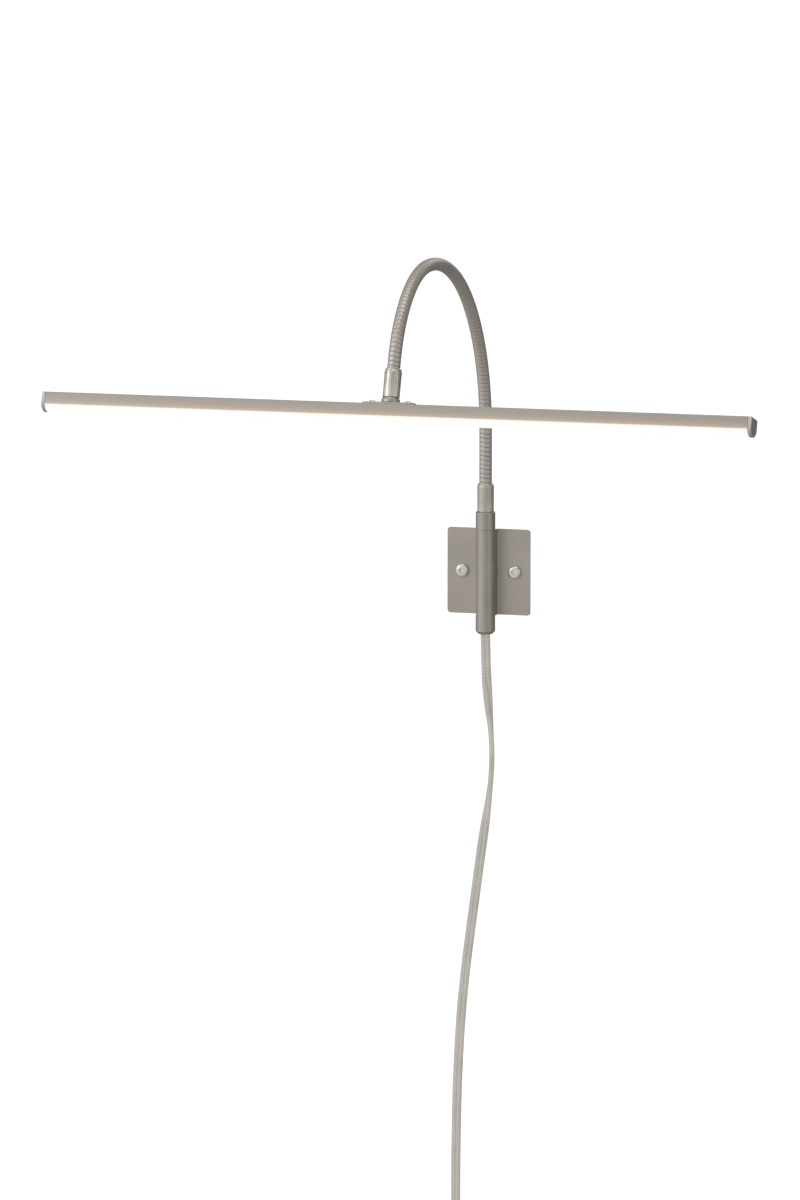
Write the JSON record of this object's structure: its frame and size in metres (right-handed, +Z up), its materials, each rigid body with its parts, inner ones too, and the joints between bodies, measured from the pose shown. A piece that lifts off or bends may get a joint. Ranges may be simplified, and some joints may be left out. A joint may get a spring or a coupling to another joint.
{
  "type": "picture light",
  "caption": "Plug-in LED picture light: a slim bar lamp on a bent gooseneck, held by a folded wall plate with two screws, with a flat cord, in-line rocker switch and plug.",
  "frame": {"origin": "centre of the wall plate's back face, midway between the two wall screws", "axes": "+Z up, +Y into the wall, +X to the right along the bar, seen from the front"},
  "size_m": [0.56, 0.2964, 1.0044],
  "materials": {
    "satin_nickel": "satin nickel plate on steel, fine even grain",
    "polished_nickel": "nickel plate, turned and lightly polished",
    "conduit": "wound strip conduit, satin nickel plate",
    "steel": "zinc-plated and stainless steel",
    "aluminium": "extruded, fine-blasted and anodised grey",
    "cap_nickel": "satin plated die casting",
    "diffuser": "frosted, glowing",
    "board": "white solder mask",
    "leds": "yellow phosphor in a white frame",
    "parts": "moulded chip bodies",
    "lead": "insulated cores",
    "splice": "insulated crimp sleeves",
    "cord": "clear soft plastic over tinned strands",
    "bush": "soft clear plastic",
    "tie": "woven strap",
    "plug": "moulded soft plastic",
    "blades": "bare brass",
    "switch": "moulded, fine matt texture",
    "rocker": "moulded"
  },
  "bodies": {
    "wall": {"wall_plate": "satin_nickel", "sleeve_tube": "steel", "top_collar": "polished_nickel", "bottom_collar": "polished_nickel", "cord_bush": "bush", "wall_screws": "steel", "wire_splices": "splice", "sleeve_lead": "lead", "lower_ferrule": "polished_nickel", "neck_foot": "conduit", "power_cord": "cord", "cord_tail": "cord", "cord_coil": "cord", "cord_end": "cord", "cord_tie": "tie", "plug_body": "plug", "plug_blades": "blades", "switch_top": "switch", "switch_bottom": "switch"},
    "neck_01": {"neck_link_01": "conduit", "neck_lead_01": "lead"},
    "neck_02": {"neck_link_02": "conduit", "neck_lead_02": "lead"},
    "neck_03": {"neck_link_03": "conduit", "neck_lead_03": "lead"},
    "neck_04": {"neck_link_04": "conduit", "neck_lead_04": "lead"},
    "neck_05": {"neck_link_05": "conduit", "neck_lead_05": "lead"},
    "neck_06": {"neck_link_06": "conduit", "neck_lead_06": "lead"},
    "neck_07": {"neck_link_07": "conduit", "neck_lead_07": "lead"},
    "neck_08": {"neck_link_08": "conduit", "neck_lead_08": "lead"},
    "neck_09": {"neck_link_09": "conduit", "neck_lead_09": "lead"},
    "neck_10": {"neck_link_10": "conduit", "neck_lead_10": "lead"},
    "neck_11": {"neck_link_11": "conduit", "neck_lead_11": "lead"},
    "bar": {"neck_head": "conduit", "upper_ferrule": "polished_nickel", "neck_collar": "polished_nickel", "bar_nipple": "steel", "nipple_nut": "steel", "mount_plate": "satin_nickel", "mount_screws": "steel", "bar_housing": "aluminium", "diffuser": "diffuser", "left_end_cap": "cap_nickel", "right_end_cap": "cap_nickel", "led_board": "board", "leds": "leds", "board_parts": "parts", "board_lead": "lead"},
    "rocker": {"switch_rocker": "rocker"}
  },
  "joints": [
    {"name": "neck_bend", "type": "hinge", "parent": "wall", "child": "neck_01", "pos_m": [0, -0.01, 0.0768], "axis": [1, 0, 0], "range_deg": [-12, 8]},
    {"name": "neck_side", "type": "hinge", "parent": "neck_01", "child": "neck_02", "pos_m": [0, -0.01, 0.112], "axis": [0, 1, 0], "range_deg": [-5, 5]},
    {"name": "neck_bend_2", "type": "hinge", "parent": "neck_02", "child": "neck_03", "pos_m": [0, -0.0154, 0.15096], "axis": [1, 0, 0], "range_deg": [-12, 8]},
    {"name": "neck_side_2", "type": "hinge", "parent": "neck_03", "child": "neck_04", "pos_m": [0, -0.03118, 0.187], "axis": [0, 0.8523, 0.523], "range_deg": [-5, 5]},
    {"name": "neck_bend_3", "type": "hinge", "parent": "neck_04", "child": "neck_05", "pos_m": [0, -0.05615, 0.21739], "axis": [1, 0, 0], "range_deg": [-12, 8]},
    {"name": "neck_side_3", "type": "hinge", "parent": "neck_05", "child": "neck_06", "pos_m": [0, -0.08845, 0.23985], "axis": [0, 0.453, 0.8915], "range_deg": [-5, 5]},
    {"name": "neck_bend_4", "type": "hinge", "parent": "neck_06", "child": "neck_07", "pos_m": [0, -0.12563, 0.25268], "axis": [1, 0, 0], "range_deg": [-12, 8]},
    {"name": "neck_side_4", "type": "hinge", "parent": "neck_07", "child": "neck_08", "pos_m": [0, -0.1649, 0.25494], "axis": [0, -0.0802, 0.9968], "range_deg": [-5, 5]},
    {"name": "neck_bend_5", "type": "hinge", "parent": "neck_08", "child": "neck_09", "pos_m": [0, -0.19135, 0.24877], "axis": [1, 0, 0], "range_deg": [-12, 8]},
    {"name": "neck_side_5", "type": "hinge", "parent": "neck_09", "child": "neck_10", "pos_m": [0, -0.21483, 0.23512], "axis": [0, -0.6252, 0.7804], "range_deg": [-5, 5]},
    {"name": "neck_bend_6", "type": "hinge", "parent": "neck_10", "child": "neck_11", "pos_m": [0, -0.23327, 0.21519], "axis": [1, 0, 0], "range_deg": [-12, 8]},
    {"name": "neck_side_6", "type": "hinge", "parent": "neck_11", "child": "bar", "pos_m": [0, -0.24506, 0.19072], "axis": [0, -0.9553, 0.2957], "range_deg": [-5, 5]},
    {"name": "switch_press", "type": "hinge", "parent": "wall", "child": "rocker", "pos_m": [-0.024, -0.0122, -0.549], "axis": [1, 0, 0], "range_deg": [-9, 9]}
  ],
  "couplings": [
    {"joint": "neck_bend_2", "follows": "neck_bend", "ratio": 1},
    {"joint": "neck_side_2", "follows": "neck_side", "ratio": 1},
    {"joint": "neck_bend_3", "follows": "neck_bend", "ratio": 1},
    {"joint": "neck_side_3", "follows": "neck_side", "ratio": 1},
    {"joint": "neck_bend_4", "follows": "neck_bend", "ratio": 1},
    {"joint": "neck_side_4", "follows": "neck_side", "ratio": 1},
    {"joint": "neck_bend_5", "follows": "neck_bend", "ratio": 1},
    {"joint": "neck_side_5", "follows": "neck_side", "ratio": 1},
    {"joint": "neck_bend_6", "follows": "neck_bend", "ratio": 1},
    {"joint": "neck_side_6", "follows": "neck_side", "ratio": 1}
  ]
}
